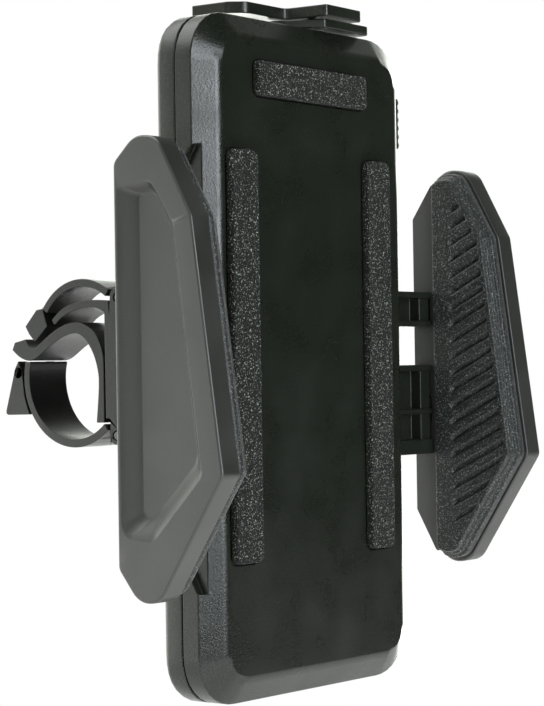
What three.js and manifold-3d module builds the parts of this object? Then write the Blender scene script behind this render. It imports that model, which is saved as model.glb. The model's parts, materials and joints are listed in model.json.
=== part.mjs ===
import * as THREE from "three";
import { mergeVertices } from "three/addons/utils/BufferGeometryUtils.js";
import Module from "manifold-3d";

// Phone handlebar mount, in millimetres. +X is the cradle's right side, +Y runs back to the handlebar
// and +Z is up. The origin is the centre of the case's flat front face.

// Gaps
const GAP = 0.3; // between pieces that touch or slide
const PAST = 1; // how far a cutting tool runs past a face

// Case
const FACE_HALF_W = 31.7;
const FACE_HALF_H = 70;
const FACE_CORNER = 5.5;
const CHAMFER_OUT = 6.45;
const CHAMFER_DEEP = 3.9;
const CASE_HALF_W = FACE_HALF_W + CHAMFER_OUT;
const CASE_HALF_H = FACE_HALF_H + CHAMFER_OUT;
const PARTING_Y = 8.4;
const CASE_BACK = 14.6;
const CASE_WALL = 2;
const BACK_EDGE = 2;
const NOTCH_X = 36.3;
const NOTCH_TOP = { z: 46.7, slant: -6.5 };
const NOTCH_BOTTOM = { z: -51.5, slant: 8 };
const BOSS_X = 29;
const BOSS_Z = 66;
const BOSS_R = 3.2;
const SCREW_BORE_R = 1.55;
const CASE_SCREW_SEAT = 12.9;
const CASE_SCREW_HEAD = { radius: 2.4, height: 1.3, bore: 2.8 };
const CASE_SCREW_LENGTH = 8.6;

// Foam strips, each in a shallow recess of the front face: X from, X to, Z from, Z to
const FOAM_FRONT = -1.8;
const RECESS_DEEP = 0.4;
const FOAM_STRIPS = {
  foam_top: [-21.3, 18.8, 58.3, 66.1],
  foam_left: [-31.1, -21.9, -45.3, 45.8],
  foam_right: [18.5, 27.6, -45.4, 46.4],
};

// Jaws
const JAW_OUT = 60;
const JAW_RIM = 54.3;
const FLANGE_X = 50.3;
const PAD_X = 49.3;
const PAD_STEP_X = 51.8;
const PAD_BACK = 1.5;
const PAD_INSET = 1.3;
const JAW_OUTLINE = [
  [6.8, 41.2, 2.5],
  [0.8, 46.6, 6],
  [-5.6, 45.9, 5],
  [-14.8, 29, 3],
  [-22.3, -24.3, 2.5],
  [-4.8, -50.7, 5],
  [1.2, -51.2, 6],
  [6.9, -44.2, 2.5],
];
const FLANGE_OUTLINE = [
  [8, 34.4, 1],
  [PAD_BACK + GAP, 43.4, 0.5],
  [PAD_BACK + GAP, -49, 0.5],
  [8, -38, 1],
];
const PAD_OUTLINE = [
  [PAD_BACK, 45.3, 1.5],
  [-4.9, 45.4, 2],
  [-14.3, 29, 2],
  [-21.7, -24.2, 2],
  [-4.7, -49.9, 2],
  [PAD_BACK, -50, 1.5],
];
const TONGUE_OUTLINE = [
  [-1.5, 37, 2],
  [-10.5, 23, 2],
  [-16, -21, 2],
  [-1.5, -40, 2],
];
const PANEL_DEEP = 1.9;
const PANEL_RIM = [
  [5.9, 36.2, 1.2],
  [-3.6, 37.2, 3.5],
  [-9.9, 27.8, 3],
  [-16.9, -24.5, 3],
  [-3, -38.6, 3],
  [5.9, -37.6, 3.4],
];
const PANEL_FLOOR = [
  [1.2, 34.2, 1],
  [-3.4, 34.4, 1.8],
  [-7.7, 26.6, 2.5],
  [-13.9, -21, 3],
  [-4, -31, 3],
  [1.2, -35, 2],
];

// Arms: each jaw has an upper channel and a lower channel that carries a rack
const ARM_FRONT = 2.6;
const ARM_BACK = 7.8;
const ARM_IN = 19;
const ARM_OUT = FLANGE_X - GAP;
const UPPER_ARM = { top: 16, bottom: 7.4 };
const LOWER_ARM = { top: -2, bottom: -24 };
const ARM_SKIN = 1.5;
const TENON = { front: 3.4, back: 6.2, out: 56.5, halfH: 3 };

// Rack and pinion
const MODULE = 0.8;
const TEETH = 10;
const PITCH_R = (MODULE * TEETH) / 2;
const PITCH = Math.PI * MODULE;
const ADDENDUM = 0.7 * MODULE;
const DEDENDUM = 0.95 * MODULE;
const PRESSURE = THREE.MathUtils.degToRad(25);
const TOOTH_WIDTH = 0.42 * PITCH;
const GEAR_FRONT = 3.6;
const GEAR_BACK = 7.4;
const RACK_BACKBONE = -7.1;

// Jaw springs
const SPRING_Z = -20;
const SPRING_STOP_X = -14;
const SPRING_R = 2.1;
const WIRE_R = 0.35;

// Release button, on the case's right edge, and the pawl that it turns
const BUTTON_TOP = 63.6;
const BUTTON_BOTTOM = 51;
const BUTTON_FRONT = 4.6;
const BUTTON_BACK = 8.1;
const BUTTON_FACE = 40.6;
const BUTTON_FLANGE_X = 34.4;
const BUTTON_FINGER_X = 30;
const BUTTON_SPRING = { x: 25.1, y: 6.3, z: 57.5, radius: 1.7, wire: 0.3, length: 8.7, turns: 5 };
const RIB_PITCH = 2.1;
const RIB_COUNT = 6;
const RIB_R = 0.8;
const RIB_HIGH = 0.6;
const PAWL_X = 19;
const PAWL_Z = 35;

// Stop tab on the top edge
const TAB_BASE_BOTTOM = CASE_HALF_H + GAP;
const TAB_BASE_TOP = 79.2;
const TAB_BASE_OUTLINE = [
  [6.5, 1, 1],
  [24, 1, 1.5],
  [24, 14.2, 1.5],
  [0, 14.2, 1.5],
];
const TAB_THICK = 2.7;
const TAB_PIVOT = [8.2, 6.2];
const TAB_TURN = THREE.MathUtils.degToRad(-35.8);
const TAB_MIDDLE = [-8.1, 1];
const TAB_SCREW = { radius: 2.2, height: 1.2, shank: 1.1, length: 3.2, bore: 2.5, sunk: 1.3 };

// Ball joint
const BALL_Y = 29;
const BALL_R = 8.5;
const SEAT_IN = 8.8;
const SEAT_OUT = 10.2;
const SOCKET_IN = 10.5;
const SOCKET_OUT = 13;
const SOCKET_BACK = 32;
const SOCKET_FLANGE_R = 18.4;
const COLLAR_IN = SOCKET_OUT + GAP;
const COLLAR_OUT = 16.3;
const STEM_R = 4.5;
const STEM_FOOT_Y = 49.7;

// Handlebar clamp, an outline in Y and Z as wide as the bands
const BAND_HALF_W = 6.6;
const SADDLE_FRONT = 50;
const SADDLE_BACK = 60.7;
const LOWER_CENTRE = [71.5, -3.8];
const LOWER_R = 17.4;
const LOWER_THICK = 2;
const UPPER_CENTRE = [68.7, 4.5];
const UPPER_R = 16.1;
const UPPER_THICK = 1.9;
const LOWER_PIN = [57.2, -18.2];
const UPPER_PIN = [56.4, 15.6];
const LEVER_PIN = [91, -2.4];
const KNUCKLE_HALF_W = 3;
const EAR_IN = KNUCKLE_HALF_W + 0.4;
const PIN_R = 1.1;

const BLACK_PLASTIC = { color: 0x2d2e2d, roughness: 0.5, metalness: 0 };
const GREY_PLASTIC = { color: 0x5c5e5a, roughness: 0.6, metalness: 0 };
const RUBBER = { color: 0x1e201f, roughness: 0.85, metalness: 0 };
const FOAM = { color: 0x333532, roughness: 1, metalness: 0 };
const STEEL = { color: 0xa7a9ab, roughness: 0.35, metalness: 1 };
const DARK_STEEL = { color: 0x3f4042, roughness: 0.5, metalness: 1 };

const wasm = await Module();
wasm.setup();

const AXES = {
  x: new THREE.Matrix4().set(0, 0, 1, 0, 1, 0, 0, 0, 0, 1, 0, 0, 0, 0, 0, 1),
  y: new THREE.Matrix4().set(1, 0, 0, 0, 0, 0, -1, 0, 0, 1, 0, 0, 0, 0, 0, 1),
  z: new THREE.Matrix4(),
};

// ---- Solids ----

function solidOf(geometry) {
  const bare = new THREE.BufferGeometry();
  const loose = geometry.index ? geometry.toNonIndexed() : geometry;
  bare.setAttribute("position", loose.getAttribute("position"));
  const merged = mergeVertices(bare, 1e-4);
  return new wasm.Manifold(
    new wasm.Mesh({
      numProp: 3,
      vertProperties: merged.getAttribute("position").array,
      triVerts: new Uint32Array(merged.index.array),
    }),
  );
}

function join(first, ...others) {
  return others.reduce((sum, other) => sum.add(other), first);
}

function cut(first, ...tools) {
  return tools.reduce((rest, tool) => rest.subtract(tool), first);
}

function geometryOf(solid) {
  const mesh = solid.getMesh();
  const geometry = new THREE.BufferGeometry();
  geometry.setAttribute("position", new THREE.BufferAttribute(mesh.vertProperties, 3));
  geometry.setIndex(new THREE.BufferAttribute(mesh.triVerts, 1));
  geometry.computeVertexNormals();
  return geometry;
}

function node(name, solid, look) {
  const mesh = new THREE.Mesh(geometryOf(solid), new THREE.MeshStandardMaterial(look));
  mesh.name = name;
  return mesh;
}

function groupOf(...children) {
  const group = new THREE.Group();
  group.add(...children);
  return group;
}

// ---- Outlines ----

// A closed outline through corners [u, v, radius], each corner rounded by its radius.
function outline(corners) {
  const shape = new THREE.Shape();
  corners.forEach(([u, v, radius = 0], i) => {
    const here = new THREE.Vector2(u, v);
    const before = new THREE.Vector2(...corners.at(i - 1).slice(0, 2));
    const after = new THREE.Vector2(...corners[(i + 1) % corners.length].slice(0, 2));
    const arriving = here.clone().sub(before).normalize();
    const leaving = after.clone().sub(here).normalize();
    const turn = Math.acos(THREE.MathUtils.clamp(arriving.dot(leaving), -1, 1));
    const shortest = Math.min(here.distanceTo(before), here.distanceTo(after));
    const reach = Math.min(radius * Math.tan(turn / 2), 0.49 * shortest);
    const start = here.clone().addScaledVector(arriving, -reach);
    const end = here.clone().addScaledVector(leaving, reach);
    if (i === 0) shape.moveTo(start.x, start.y);
    else shape.lineTo(start.x, start.y);
    if (reach > 0) shape.quadraticCurveTo(u, v, end.x, end.y);
  });
  shape.closePath();
  return shape;
}

function rectangle(uLow, uHigh, vLow, vHigh, radius = 0) {
  return outline([
    [uHigh, vLow, radius],
    [uHigh, vHigh, radius],
    [uLow, vHigh, radius],
    [uLow, vLow, radius],
  ]);
}

function circle(u, v, radius) {
  return new THREE.Shape().absarc(u, v, radius, 0, 2 * Math.PI, false);
}

// A solid whose ends are two outlines in Y and Z with equally many corners, at a lower and a higher X.
function loftX(low, xLow, high, xHigh) {
  const divisions = 4;
  const ends = [outline(high), outline(low)].map((shape) => shape.getPoints(divisions).slice(0, -1));
  const positions = ends.flatMap((points, i) => points.flatMap((p) => [i === 0 ? xHigh : xLow, p.x, p.y]));
  const count = ends[0].length;
  const indices = THREE.ShapeUtils.triangulateShape(ends[0], []).flatMap(([a, b, c]) => [
    ...[a, b, c],
    ...[count + a, count + c, count + b],
  ]);
  for (let i = 0; i < count; i += 1) {
    const next = (i + 1) % count;
    indices.push(i, count + i, next, next, count + i, count + next);
  }
  const geometry = new THREE.BufferGeometry();
  geometry.setAttribute("position", new THREE.Float32BufferAttribute(positions, 3));
  geometry.setIndex(indices);
  return solidOf(geometry);
}

// The same corners moved in by a distance, each along its two neighbouring edges' inward normals.
function inset(corners, distance) {
  const area = corners.reduce((sum, [u, v], i) => {
    const [nextU, nextV] = corners[(i + 1) % corners.length];
    return sum + u * nextV - v * nextU;
  }, 0);
  const side = Math.sign(area);
  return corners.map(([u, v, radius], i) => {
    const [u0, v0] = corners.at(i - 1);
    const [u1, v1] = corners[(i + 1) % corners.length];
    const a = new THREE.Vector2(v0 - v, u - u0).normalize().multiplyScalar(side);
    const b = new THREE.Vector2(v - v1, u1 - u).normalize().multiplyScalar(side);
    const scale = distance / (1 + a.dot(b));
    return [u + (a.x + b.x) * scale, v + (a.y + b.y) * scale, Math.max(radius - distance / 2, 0.3)];
  });
}

// A band of even thickness along a circle's arc, from one angle to another, in degrees.
function arcBand([u, v], outer, thick, from, to) {
  const start = THREE.MathUtils.degToRad(from);
  const end = THREE.MathUtils.degToRad(to);
  const shape = new THREE.Shape();
  shape.absarc(u, v, outer, start, end, false);
  shape.absarc(u, v, outer - thick, end, start, true);
  shape.closePath();
  return shape;
}

// ---- Blocks, plates and turned pieces ----

// An outline made into a plate square to an axis. On x it is drawn in Y and Z, on y in X and Z, on z in X and Y.
function plate(axis, shape, low, high, curveSegments = 6) {
  const options = { depth: high - low, bevelEnabled: false, curveSegments };
  const geometry = new THREE.ExtrudeGeometry(shape, options);
  geometry.translate(0, 0, axis === "y" ? -high : low);
  return solidOf(geometry.applyMatrix4(AXES[axis]));
}

function block(xLow, xHigh, yLow, yHigh, zLow, zHigh) {
  return plate("z", rectangle(xLow, xHigh, yLow, yHigh), zLow, zHigh);
}

function rod(axis, u, v, radius, low, high, sides = 8) {
  return plate(axis, circle(u, v, radius), low, high, sides);
}

// A block with a chamfered front: its flat face has the outline, and it grows behind that face.
function chamferedBlock(halfW, halfH, radius, front, back, chamfer) {
  const shape = rectangle(-halfW, halfW, -halfH, halfH, radius);
  const depth = back - front + PAST;
  const geometry = new THREE.ExtrudeGeometry(shape, {
    depth,
    bevelEnabled: true,
    bevelSize: chamfer.out,
    bevelThickness: chamfer.deep,
    bevelSegments: chamfer.steps ?? 1,
    curveSegments: 8,
  });
  geometry.translate(0, 0, -front - depth - chamfer.deep);
  const whole = solidOf(geometry.applyMatrix4(AXES.y));
  const reach = 2 * (halfW + halfH);
  return cut(whole, block(-reach, reach, back, back + reach, -reach, reach));
}

function lathe(points, segments = 24) {
  const profile = points.map(([radius, y]) => new THREE.Vector2(radius, y));
  return solidOf(new THREE.LatheGeometry(profile, segments));
}

// Profile points along a circle about the lathe axis, between two angles measured from the equator.
function profileArc(radius, centreY, fromDegrees, toDegrees, steps = 5) {
  return Array.from({ length: steps + 1 }, (_, i) => {
    const degrees = THREE.MathUtils.lerp(fromDegrees, toDegrees, i / steps);
    const angle = THREE.MathUtils.degToRad(degrees);
    const across = Math.abs(degrees) === 90 ? 0 : radius * Math.cos(angle);
    return [across, centreY + radius * Math.sin(angle)];
  });
}

// A screw along +Y: the head's underside is at y = 0 and the shank runs to -length.
function screwSolid(headR, headH, shankR, length) {
  const profile = [
    [0, -length],
    [shankR, -length],
    [shankR, 0],
    [headR, 0],
    [headR * 0.85, headH],
    [0, headH],
  ];
  const slotHalf = 0.3;
  const slotReach = headR * 0.6;
  const deep = headH * 0.55;
  return cut(
    lathe(profile, 10),
    block(-slotReach, slotReach, deep, headH + PAST, -slotHalf, slotHalf),
    block(-slotHalf, slotHalf, deep, headH + PAST, -slotReach, slotReach),
  );
}

class Helix extends THREE.Curve {
  constructor(radius, length, turns) {
    super();
    Object.assign(this, { radius, length, turns });
  }

  getPoint(t) {
    const angle = 2 * Math.PI * this.turns * t;
    return new THREE.Vector3(
      this.length * t,
      this.radius * Math.cos(angle),
      this.radius * Math.sin(angle),
    );
  }
}

// A coil spring along +X from x = 0.
function springSolid(radius, wire, length, turns) {
  const path = new Helix(radius, length, turns);
  const section = new THREE.Shape().absarc(0, 0, wire, 0, 2 * Math.PI, false);
  const options = { steps: turns * 7, extrudePath: path, curveSegments: 2, bevelEnabled: false };
  return solidOf(new THREE.ExtrudeGeometry(section, options));
}

// ---- Case ----

// The notch for a jaw. Its ends slant where they cross the case's side, as the jaw's flange does.
function notchTool(grow) {
  const low = NOTCH_BOTTOM.z - grow;
  const high = NOTCH_TOP.z + grow;
  const x = NOTCH_X - grow;
  const outside = CASE_HALF_W + PAST;
  const back = PARTING_Y + PAST;
  const share = (back - CHAMFER_DEEP) / (PARTING_Y - CHAMFER_DEEP);
  const across = outline([
    [x, low],
    [outside, low + 0.5],
    [outside, high - 0.5],
    [x, high],
  ]);
  const side = outline([
    [-PAST, low - 5],
    [CHAMFER_DEEP, low],
    [back, low + NOTCH_BOTTOM.slant * share],
    [back, high + NOTCH_TOP.slant * share],
    [CHAMFER_DEEP, high],
    [-PAST, high + 5],
  ]);
  return plate("y", across, -PAST, back).intersect(plate("x", side, x - PAST, outside + PAST));
}

function mirrorX(solid) {
  return solid.mirror([1, 0, 0]);
}

function turnY(solid) {
  return solid.rotate([0, 180, 0]);
}

function armWindow({ top, bottom }) {
  return block(
    FACE_HALF_W - CHAMFER_DEEP,
    NOTCH_X + PAST,
    ARM_FRONT - GAP,
    PARTING_Y + PAST,
    bottom - GAP,
    top + GAP,
  );
}

function bossPlaces() {
  return [-BOSS_X, BOSS_X].flatMap((x) => [-BOSS_Z, BOSS_Z].map((z) => [x, z]));
}

function frontShell() {
  const outside = chamferedBlock(FACE_HALF_W, FACE_HALF_H, FACE_CORNER, 0, PARTING_Y, {
    out: CHAMFER_OUT,
    deep: CHAMFER_DEEP,
  });
  const inside = chamferedBlock(
    FACE_HALF_W - 1.5,
    FACE_HALF_H - 1.5,
    FACE_CORNER - 1,
    CASE_WALL,
    PARTING_Y + PAST,
    { out: CHAMFER_OUT - 0.5, deep: CHAMFER_DEEP },
  );
  const notch = notchTool(0);
  const notchWall = notchTool(CASE_WALL);
  const hollow = cut(inside, notchWall, mirrorX(notchWall));
  const windows = join(armWindow(UPPER_ARM), armWindow(LOWER_ARM));
  const buttonSlot = block(
    CASE_HALF_W - CASE_WALL - PAST,
    CASE_HALF_W + PAST,
    BUTTON_FRONT - GAP,
    PARTING_Y + PAST,
    BUTTON_BOTTOM - GAP,
    BUTTON_TOP + GAP,
  );
  const buttonRoom = block(
    FACE_HALF_W - CHAMFER_DEEP,
    CASE_HALF_W - CASE_WALL - 0.1,
    BUTTON_FRONT - 0.7,
    PARTING_Y + PAST,
    BUTTON_BOTTOM - 1.1,
    BUTTON_TOP + 1.3,
  );
  const openings = [hollow, windows, turnY(windows), buttonSlot, buttonRoom];
  const shell = cut(outside, notch, mirrorX(notch), ...openings);
  const recesses = Object.values(FOAM_STRIPS).map((strip) => foamPlate(strip, GAP, -PAST, RECESS_DEEP));
  const bosses = bossPlaces().map(([x, z]) => rod("y", x, z, BOSS_R, CASE_WALL - GAP, PARTING_Y, 8));
  const holes = bossPlaces().map(([x, z]) => rod("y", x, z, SCREW_BORE_R, 3.4, PARTING_Y + PAST, 6));
  return cut(join(shell, ...bosses), ...recesses, ...holes);
}

function guideRib({ top, bottom }) {
  return block(22, 33, ARM_BACK + GAP, CASE_BACK - CASE_WALL + PAST / 2, bottom, top);
}

function springStop() {
  return block(
    SPRING_STOP_X - 2.4,
    SPRING_STOP_X - GAP,
    GEAR_FRONT,
    CASE_BACK - CASE_WALL + PAST / 2,
    SPRING_Z - 3,
    SPRING_Z + 3,
  );
}

function socketScrewPlaces() {
  const reach = 11;
  return [-reach, reach].flatMap((x) => [-reach, reach].map((z) => [x, z]));
}

function rearShell() {
  const front = PARTING_Y + GAP;
  const floor = CASE_BACK - CASE_WALL;
  const body = chamferedBlock(
    CASE_HALF_W - BACK_EDGE,
    CASE_HALF_H - BACK_EDGE,
    FACE_CORNER + CHAMFER_OUT - BACK_EDGE,
    0,
    CASE_BACK - front,
    { out: BACK_EDGE, deep: BACK_EDGE, steps: 2 },
  );
  // The block is made face forward, so it is turned about Z to put its rounded edge at the back.
  const outside = body.rotate([0, 0, 180]).translate([0, CASE_BACK, 0]);
  const halfW = CASE_HALF_W - CASE_WALL;
  const halfH = CASE_HALF_H - CASE_WALL;
  const corner = FACE_CORNER + CHAMFER_OUT - CASE_WALL;
  const room = plate("y", rectangle(-halfW, halfW, -halfH, halfH, corner), front - PAST, floor, 8);
  const ribs = join(guideRib(UPPER_ARM), guideRib(LOWER_ARM), springStop());
  const inFloor = floor + PAST / 2;
  const posts = [
    ...bossPlaces().map(([x, z]) => rod("y", x, z, BOSS_R, front, inFloor, 8)),
    ...socketScrewPlaces().map(([x, z]) => rod("y", x, z, 2.6, 9, inFloor, 6)),
    rod("y", 0, 0, 3.6, GEAR_BACK + GAP, inFloor, 8),
    rod("y", PAWL_X, PAWL_Z, 3, 7, inFloor, 8),
    block(22.2, 24.4, 4, inFloor, 54, 61),
  ];
  const holes = [
    ...bossPlaces().map(([x, z]) => rod("y", x, z, SCREW_BORE_R, front - PAST, CASE_BACK + PAST, 6)),
    ...bossPlaces().map(([x, z]) =>
      rod("y", x, z, CASE_SCREW_HEAD.bore, CASE_SCREW_SEAT, CASE_BACK + PAST, 8),
    ),
    ...socketScrewPlaces().map(([x, z]) => rod("y", x, z, 1.4, 9 - PAST, CASE_BACK + PAST, 6)),
    rod("y", 0, 0, 1.8, GEAR_BACK, 13, 8),
    rod("y", PAWL_X, PAWL_Z, 1.8, 6, 12.4, 8),
  ];
  return cut(join(cut(outside, room), ribs, turnY(ribs), ...posts), ...holes);
}

function foamPlate([xLow, xHigh, zLow, zHigh], grow, front, back) {
  const shape = rectangle(xLow - grow, xHigh + grow, zLow - grow, zHigh + grow, 2);
  return plate("y", shape, front, back, 3);
}

function caseScrews() {
  const { radius, height } = CASE_SCREW_HEAD;
  return bossPlaces().map(([x, z], i) => {
    const solid = screwSolid(radius, height, SCREW_BORE_R - GAP, CASE_SCREW_LENGTH);
    const screw = node(`case_screw_${i + 1}`, solid, STEEL);
    screw.position.set(x, CASE_SCREW_SEAT + GAP, z);
    return screw;
  });
}

// ---- Jaws ----

function screwHoleInFlange(z) {
  return join(
    rod("y", 52.6, z, 1.4, TENON.front - PAST, 8 + PAST, 6),
    rod("y", 52.6, z, 2.1, 6.9, 8 + PAST, 8),
  );
}

function armMiddle({ top, bottom }) {
  return (top + bottom) / 2;
}

function tenonSocket(z) {
  return block(
    FLANGE_X - PAST,
    TENON.out + GAP,
    TENON.front - GAP,
    TENON.back + GAP,
    z - TENON.halfH - GAP,
    z + TENON.halfH + GAP,
  );
}

// The outside panel is a shallow pocket with sloping walls.
function panelPocket() {
  const slope = loftX(PANEL_FLOOR, JAW_OUT - PANEL_DEEP, PANEL_RIM, JAW_OUT);
  const mouth = plate("x", outline(PANEL_RIM), JAW_OUT - 0.01, JAW_OUT + PAST, 4);
  return join(slope, mouth);
}

function jawShell(armHeights) {
  const board = plate("x", outline(JAW_OUTLINE), JAW_RIM, JAW_OUT, 4);
  const flange = plate("x", outline(FLANGE_OUTLINE), FLANGE_X, JAW_RIM + PAST, 4);
  return cut(
    join(board, flange),
    panelPocket(),
    plate("x", outline(inset(TONGUE_OUTLINE, -GAP)), JAW_RIM - PAST, JAW_RIM + 2, 3),
    ...armHeights.map(tenonSocket),
    ...armHeights.map(screwHoleInFlange),
  );
}

// The pad's gripping face is inset from its skirt except along the back edge, and a tongue on its back sits
// in the shell.
function jawPad() {
  const skirt = plate("x", outline(PAD_OUTLINE), PAD_STEP_X, JAW_RIM - GAP, 4);
  const backKept = PAD_OUTLINE.map(([y, z, radius]) => [y === PAD_BACK ? y + PAD_INSET : y, z, radius]);
  const face = plate("x", outline(inset(backKept, PAD_INSET)), PAD_X, PAD_STEP_X + 0.5, 4);
  const tongue = plate("x", outline(TONGUE_OUTLINE), PAD_STEP_X, JAW_RIM + 1.6, 3);
  return join(skirt, face, tongue);
}

// ---- Arms, racks and pinion ----

// A channel open to the front, with a web behind and flanges at the given heights.
function armChannel({ top, bottom }, shelves) {
  const web = block(ARM_IN, ARM_OUT, ARM_BACK - ARM_SKIN, ARM_BACK, bottom, top);
  const flanges = shelves.map(([low, high]) => block(ARM_IN, ARM_OUT, ARM_FRONT, ARM_BACK, low, high));
  const middle = armMiddle({ top, bottom });
  const end = block(ARM_OUT - 4, ARM_OUT, TENON.front, ARM_BACK, bottom, top);
  const tenon = block(
    ARM_OUT - 1,
    TENON.out,
    TENON.front,
    TENON.back,
    middle - TENON.halfH,
    middle + TENON.halfH,
  );
  const screwHole = rod("y", 52.6, middle, 1.4, 3.9, ARM_BACK + PAST, 6);
  return cut(join(web, ...flanges, end, tenon), screwHole);
}

function ratchetTeeth() {
  const pitch = 2;
  const count = 6;
  const height = 0.3 + GAP;
  const first = ARM_IN + 1;
  const corners = [[first, UPPER_ARM.top - 0.5]];
  for (let i = 0; i < count; i += 1) {
    const x = first + i * pitch;
    corners.push([x + 0.2, UPPER_ARM.top], [x + pitch - 0.1, UPPER_ARM.top + height]);
  }
  corners.push([first + count * pitch, UPPER_ARM.top - 0.5]);
  return plate("y", outline(corners), ARM_FRONT + 1, ARM_BACK - 1);
}

function upperArm() {
  const { top, bottom } = UPPER_ARM;
  const shelves = [
    [top - ARM_SKIN, top],
    [bottom, bottom + ARM_SKIN],
  ];
  return join(armChannel(UPPER_ARM, shelves), ratchetTeeth());
}

function rackTooth(x, pitchLine) {
  const half = TOOTH_WIDTH / 2;
  const lean = Math.tan(PRESSURE);
  return plate(
    "y",
    outline([
      [x - half - (DEDENDUM + 0.2) * lean, pitchLine - DEDENDUM - 0.2],
      [x + half + (DEDENDUM + 0.2) * lean, pitchLine - DEDENDUM - 0.2],
      [x + half - ADDENDUM * lean, pitchLine + ADDENDUM],
      [x - half + ADDENDUM * lean, pitchLine + ADDENDUM],
    ]),
    GEAR_FRONT,
    GEAR_BACK,
  );
}

// The rack runs under the pinion, with a gap between two teeth below the pinion's axis at rest.
function rack() {
  const pitchLine = -PITCH_R;
  const firstTooth = -1.5 * PITCH;
  const lastTooth = firstTooth + 8 * PITCH;
  const backbone = block(
    firstTooth - PITCH / 2,
    ARM_IN + 1,
    GEAR_FRONT,
    GEAR_BACK,
    RACK_BACKBONE,
    pitchLine - DEDENDUM,
  );
  const teeth = [];
  for (let x = firstTooth; x < lastTooth; x += PITCH) teeth.push(rackTooth(x, pitchLine));
  return join(backbone, ...teeth);
}

function lowerArm() {
  const { top, bottom } = LOWER_ARM;
  const middle = -13.5;
  const shelves = [
    [top - ARM_SKIN, top],
    [middle - 0.6, middle + 0.6],
    [bottom, bottom + 3.6],
  ];
  return join(armChannel(LOWER_ARM, shelves), rack());
}

function involute(baseR, angle) {
  const across = baseR * (Math.cos(angle) + angle * Math.sin(angle));
  const along = baseR * (Math.sin(angle) - angle * Math.cos(angle));
  return new THREE.Vector2(across, along);
}

// One flank of a pinion tooth whose middle lies on the outline's +u axis.
function toothFlank() {
  const baseR = PITCH_R * Math.cos(PRESSURE);
  const tipR = PITCH_R + ADDENDUM;
  const rootR = PITCH_R - DEDENDUM;
  const pitchRoll = Math.tan(PRESSURE);
  const halfTooth = TOOTH_WIDTH / 2 / PITCH_R;
  const shift = halfTooth + pitchRoll - PRESSURE;
  const points = [new THREE.Vector2(rootR, 0).rotateAround(new THREE.Vector2(), -shift)];
  const tipRoll = Math.sqrt((tipR / baseR) ** 2 - 1);
  const steps = 3;
  for (let i = 0; i <= steps; i += 1) {
    const point = involute(baseR, (tipRoll * i) / steps);
    points.push(point.rotateAround(new THREE.Vector2(), -shift));
  }
  return points;
}

function pinionSolid() {
  const flank = toothFlank();
  const corners = [];
  for (let tooth = 0; tooth < TEETH; tooth += 1) {
    const turn = Math.PI / 2 + (2 * Math.PI * tooth) / TEETH;
    const centre = new THREE.Vector2();
    const rising = flank.map((p) => p.clone().rotateAround(centre, turn));
    const falling = flank.map((p) => new THREE.Vector2(p.x, -p.y).rotateAround(centre, turn));
    corners.push(...rising, ...falling.reverse());
  }
  const shape = new THREE.Shape(corners);
  return cut(plate("y", shape, GEAR_FRONT, GEAR_BACK), rod("y", 0, 0, 1.6, 0, 20, 8));
}

// ---- Release button ----

// A ribbed cap that stands out through the case's slot, with a flange behind the slot, a finger that
// pushes the pawl and a peg that holds the spring.
function buttonSolid() {
  const capOutline = rectangle(BUTTON_FRONT, BUTTON_BACK, BUTTON_BOTTOM, BUTTON_TOP, 0.8);
  const skin = BUTTON_FACE - RIB_HIGH;
  const cap = plate("x", capOutline, BUTTON_FLANGE_X, skin, 2);
  const middle = (BUTTON_TOP + BUTTON_BOTTOM) / 2;
  const ribs = Array.from({ length: RIB_COUNT }, (_, i) => {
    const z = middle + (i - (RIB_COUNT - 1) / 2) * RIB_PITCH;
    return rod("y", skin, z, RIB_R, BUTTON_FRONT + 0.3, BUTTON_BACK - 0.3, 6);
  });
  const flange = block(
    BUTTON_FLANGE_X,
    BUTTON_FLANGE_X + 1.3,
    BUTTON_FRONT - 0.4,
    BUTTON_BACK,
    BUTTON_BOTTOM - 0.8,
    BUTTON_TOP + 1,
  );
  const finger = block(BUTTON_FINGER_X, BUTTON_FLANGE_X + 0.5, 4.6, 6.9, 50.3, 52.6);
  const peg = rod("x", BUTTON_SPRING.y, BUTTON_SPRING.z, 1, 31, BUTTON_FLANGE_X + 0.5, 6);
  return join(cap, ...ribs, flange, finger, peg);
}

function pawlSolid() {
  const shape = outline([
    [PAWL_X - 3, PAWL_Z + 1, 2],
    [PAWL_X + 1, PAWL_Z + 5, 1],
    [28.4, 53.4, 1],
    [29.7, 52.4, 0.5],
    [29.7, 50, 0.5],
    [PAWL_X + 3.4, PAWL_Z, 1],
    [27.2, 18.6, 0.5],
    [26, 17.2, 0.2],
    [24.8, 18.2, 0.5],
    [PAWL_X - 2, PAWL_Z - 3.4, 2],
  ]);
  return cut(plate("y", shape, 4.2, 6.6, 3), rod("y", PAWL_X, PAWL_Z, 1.65, 0, 20, 6));
}

// ---- Stop tab on the top edge ----

function tabBase() {
  const slab = plate("z", outline(TAB_BASE_OUTLINE), TAB_BASE_BOTTOM, TAB_BASE_TOP - GAP, 3);
  const bore = TAB_SCREW.shank + GAP;
  return cut(slab, rod("z", ...TAB_PIVOT, bore, TAB_BASE_BOTTOM + GAP, TAB_BASE_TOP + PAST, 6));
}

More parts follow.
